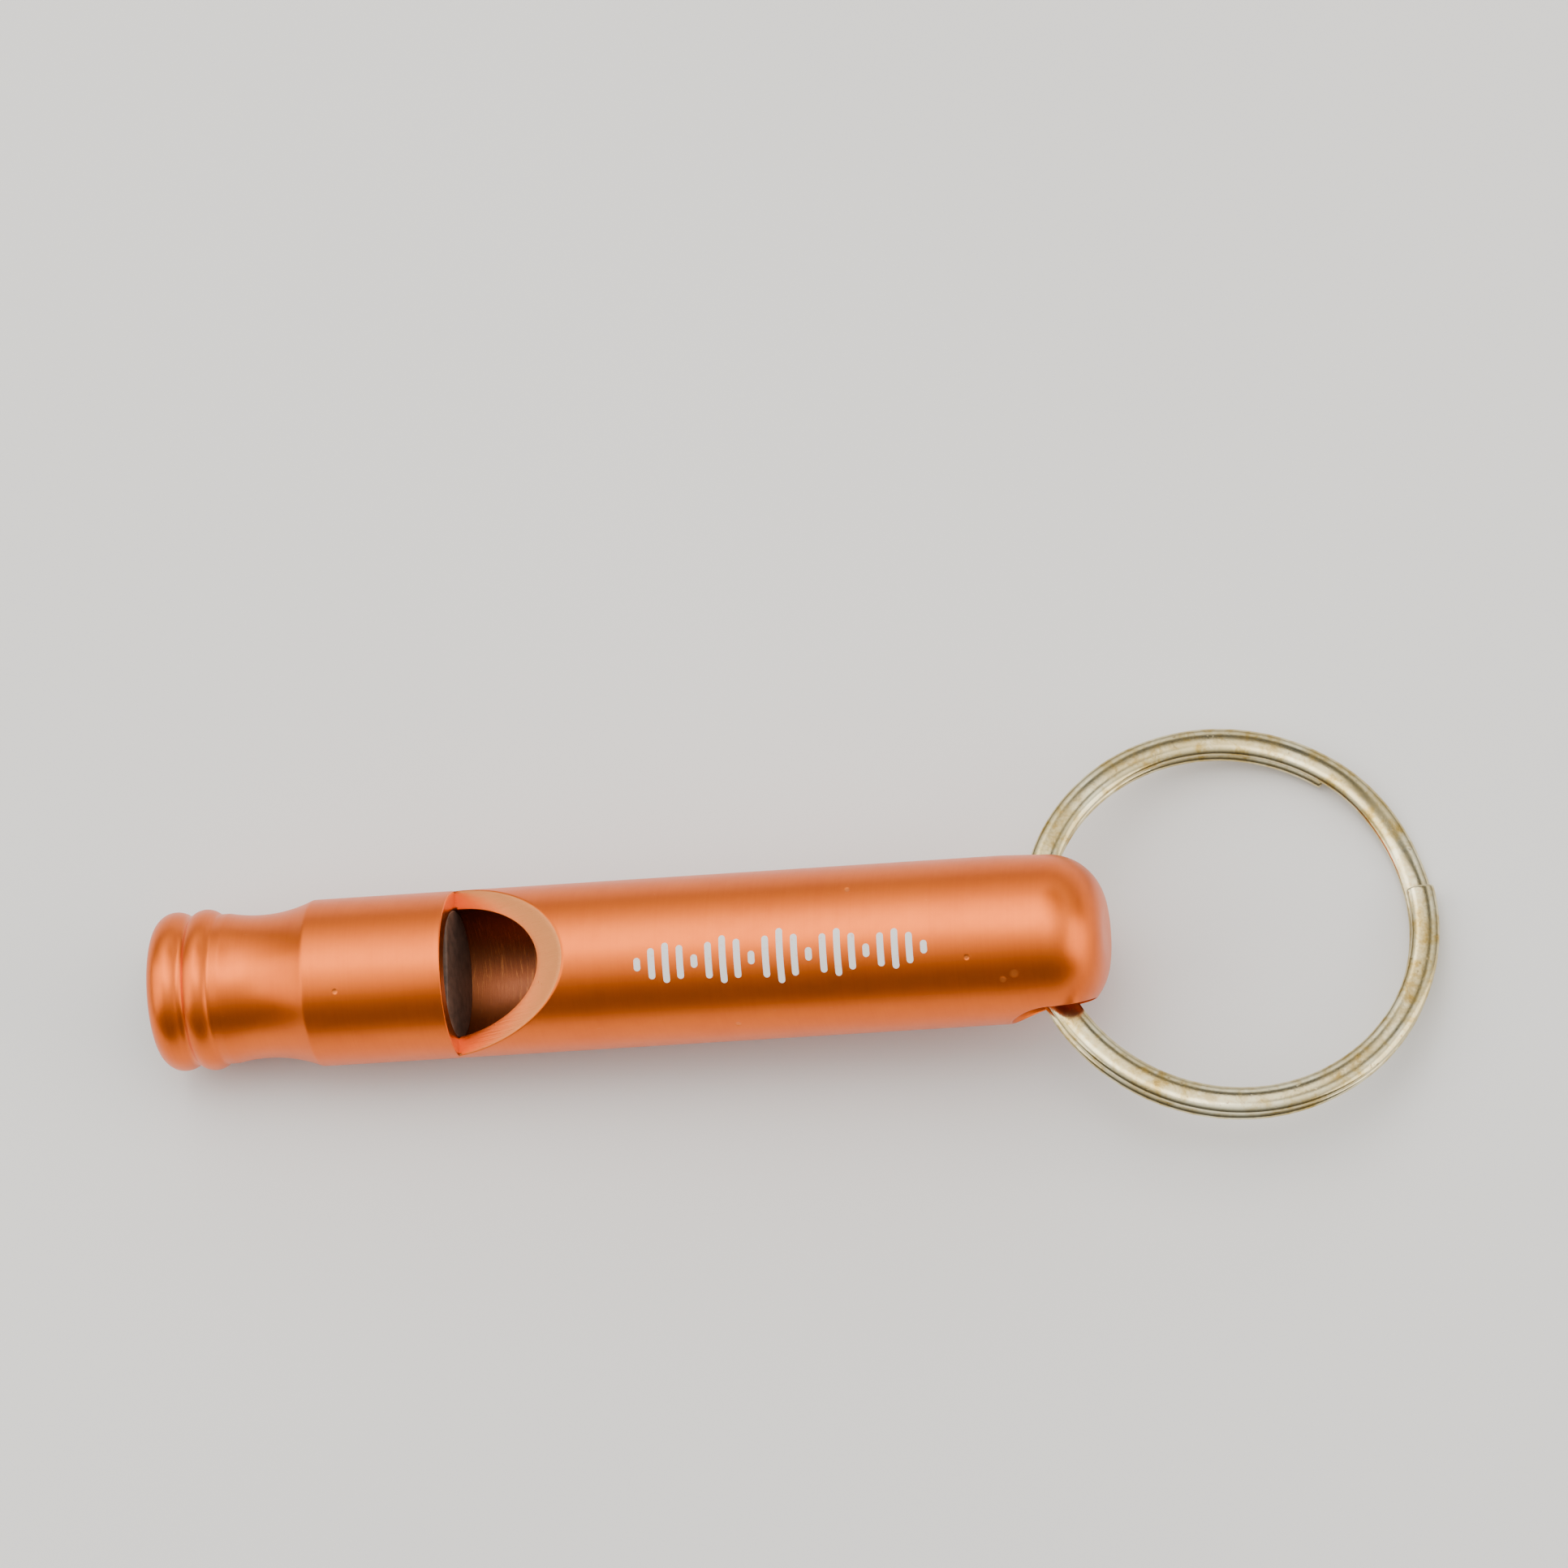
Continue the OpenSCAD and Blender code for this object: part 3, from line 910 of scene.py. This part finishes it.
class WHISTLE_OT_stage(bpy.types.Operator):
    """Set up the pale floor, the soft lights, the surround and the camera"""

    bl_idname = "whistle.stage"
    bl_label = "Stage"

    def execute(self, context):
        s = context.scene.whistle_stage
        right, up, back = view_axes(s)
        self.camera(context.scene, s, right, up, back)
        self.floor(s)
        self.lights(s, right, up, back)
        self.surround(context.scene, s, (back * 0.76 + up * 0.65).normalized(), back)
        return {"FINISHED"}

    def camera(self, scene, s, right, up, back):
        data = bpy.data.cameras.new("view_camera")
        data.lens = s.lens
        data.clip_start, data.clip_end = 0.01, 10.0
        camera = bpy.data.objects.new("view_camera", data)
        scene.collection.objects.link(camera)
        place = back * s.distance + up * s.shift_down - right * s.shift_right
        camera.matrix_world = Matrix.Translation(place) @ basis(right, up, back)
        scene.camera = camera

    def floor(self, s):
        """A wide board under the mouth rim and the ring's lowest place, tipped to touch both."""
        lo, hi = CAD_BOX
        rim = Vector((BODY_BOX[0].x + RIM_WIRE, 0, -RIM_TOP))
        ring = Vector((hi.x, 0, lo.z))
        slope = math.atan2(ring.z - rim.z, ring.x - rim.x)
        half, cells = 1.6, 40
        u = np.linspace(-half, half, cells + 1)
        x, y = np.meshgrid(u, u, indexing="ij")
        flat = np.stack([x, y, np.full_like(x, -s.gap)], axis=-1)
        points = placed(flat, Matrix.Translation(rim) @ Matrix.Rotation(-slope, 4, "Y"))
        mesh = bpy.data.meshes.new("pale_floor")
        index = np.arange(u.size**2).reshape(u.size, u.size)
        cells = (index[:-1, :-1], index[1:, :-1], index[1:, 1:], index[:-1, 1:])
        mesh.from_pydata(points.reshape(-1, 3), [], np.stack(cells, axis=-1).reshape(-1, 4).tolist())
        mesh.shade_smooth()
        mesh.materials.append(floor_finish())
        board = bpy.data.objects.new("pale_floor", mesh)
        bpy.context.scene.collection.objects.link(board)

    def lights(self, s, right, up, back):
        """Soft boxes given by how far they lie off the view, and to which side."""
        plan = (
            ("key_light", s.key, 0.42, back * 0.8 + up * 0.56 - right * 0.1, 0.34),
            ("mouth_light", s.side, 0.42, back * 0.5 - right * 0.86 + up * 0.1, 0.4),
            ("tail_light", s.side * 0.8, 0.42, back * 0.45 + right * 0.88, 0.3),
        )
        for name, power, distance, heading, size in plan:
            data = bpy.data.lights.new(name, "AREA")
            data.shape, data.size, data.energy = "SQUARE", size, power
            data.color = (1.0, 0.94, 0.84)
            lamp = bpy.data.objects.new(name, data)
            bpy.context.scene.collection.objects.link(lamp)
            heading = heading.normalized()
            turn = heading.to_track_quat("Z", "Y").to_matrix().to_4x4()
            lamp.matrix_world = Matrix.Translation(heading * distance) @ turn

    def surround(self, scene, s, over, back):
        """A pale tent that is bright over one side of the barrel and dimmer under the other, with a dark
        opening where the flat of the ring mirrors the view."""
        world = bpy.data.worlds.new("pale_surround")
        world.use_nodes = True
        tent = NodeTree(world.node_tree)
        shade = world.node_tree.nodes["Background"]
        heading = tent.node("ShaderNodeTexCoord", {}, {}, "Generated")
        flat = ring_pose(scene.whistle_ring).to_3x3() @ Vector((0, 0, 1))
        opening = 2 * flat.dot(back) * flat - back
        dot = {"operation": "DOT_PRODUCT"}
        facing = tent.node("ShaderNodeVectorMath", dot, {0: heading, 1: over}, "Value")
        bright = facing.maths("POWER", facing.maths("MAXIMUM", facing, 0.0), 3.0)
        dark = tent.node("ShaderNodeVectorMath", dot, {0: heading, 1: opening}, "Value")
        dark = dark.ramp(math.cos(s.opening * 1.3), math.cos(s.opening * 0.8))
        tent.fill(shade.inputs["Color"], (1.0, 1.0, 1.0))
        tent.fill(shade.inputs["Strength"], (bright * s.glow + s.air) * (1 - dark * 0.96))
        scene.world = world


def basis(right, up, back):
    """Turn whose columns are three directions."""
    return Matrix((right, up, back)).transposed().to_4x4()


def view_axes(s):
    """The camera's right, up and back directions in the whistle's frame, from the barrel's tilt towards
    the camera, its rise across the view and the turn of its window side."""
    tilt, climb = math.sin(s.tilt), math.cos(s.tilt)
    along = Vector((climb * math.cos(s.climb), climb * math.sin(s.climb), tilt))
    towards = (Vector((0, 0, 1)) - tilt * along).normalized()
    over = towards.cross(along)
    y_axis = over * math.cos(s.roll) - towards * math.sin(s.roll)
    z_axis = over * math.sin(s.roll) + towards * math.cos(s.roll)
    return [Vector((along[k], y_axis[k], z_axis[k])) for k in range(3)]


class WHISTLE_PT_panel(bpy.types.Panel):
    """Lists the whistle's pieces"""

    bl_idname = "WHISTLE_PT_panel"
    bl_label = "Tube Whistle"
    bl_space_type = "VIEW_3D"
    bl_region_type = "UI"
    bl_category = "Whistle"

    def draw(self, context):
        for operator in OPERATORS:
            self.layout.operator(operator.bl_idname)
        for name in SETTINGS:
            group = getattr(context.scene, name)
            box = self.layout.box()
            for key in group.bl_rna.properties.keys():
                if key not in {"rna_type", "name"}:
                    box.prop(group, key)


SETTINGS = {
    "whistle_barrel": BarrelSettings,
    "whistle_plug": PlugSettings,
    "whistle_ring": RingSettings,
    "whistle_mark": MarkSettings,
    "whistle_finish": FinishSettings,
    "whistle_stage": StageSettings,
}
OPERATORS = (
    WHISTLE_OT_stage, WHISTLE_OT_barrel, WHISTLE_OT_plug, WHISTLE_OT_ring, WHISTLE_OT_mark,
)


def register():
    for cls in (*SETTINGS.values(), *OPERATORS, WHISTLE_PT_panel):
        bpy.utils.register_class(cls)
    for name, cls in SETTINGS.items():
        setattr(bpy.types.Scene, name, PointerProperty(type=cls))


def unregister():
    for name in SETTINGS:
        delattr(bpy.types.Scene, name)
    for cls in reversed((*SETTINGS.values(), *OPERATORS, WHISTLE_PT_panel)):
        bpy.utils.unregister_class(cls)


def main():
    register()
    bpy.ops.whistle.stage()
    bpy.ops.whistle.barrel()
    bpy.ops.whistle.plug()
    bpy.ops.whistle.ring()
    bpy.ops.whistle.mark()


if __name__ == "__main__":
    main()
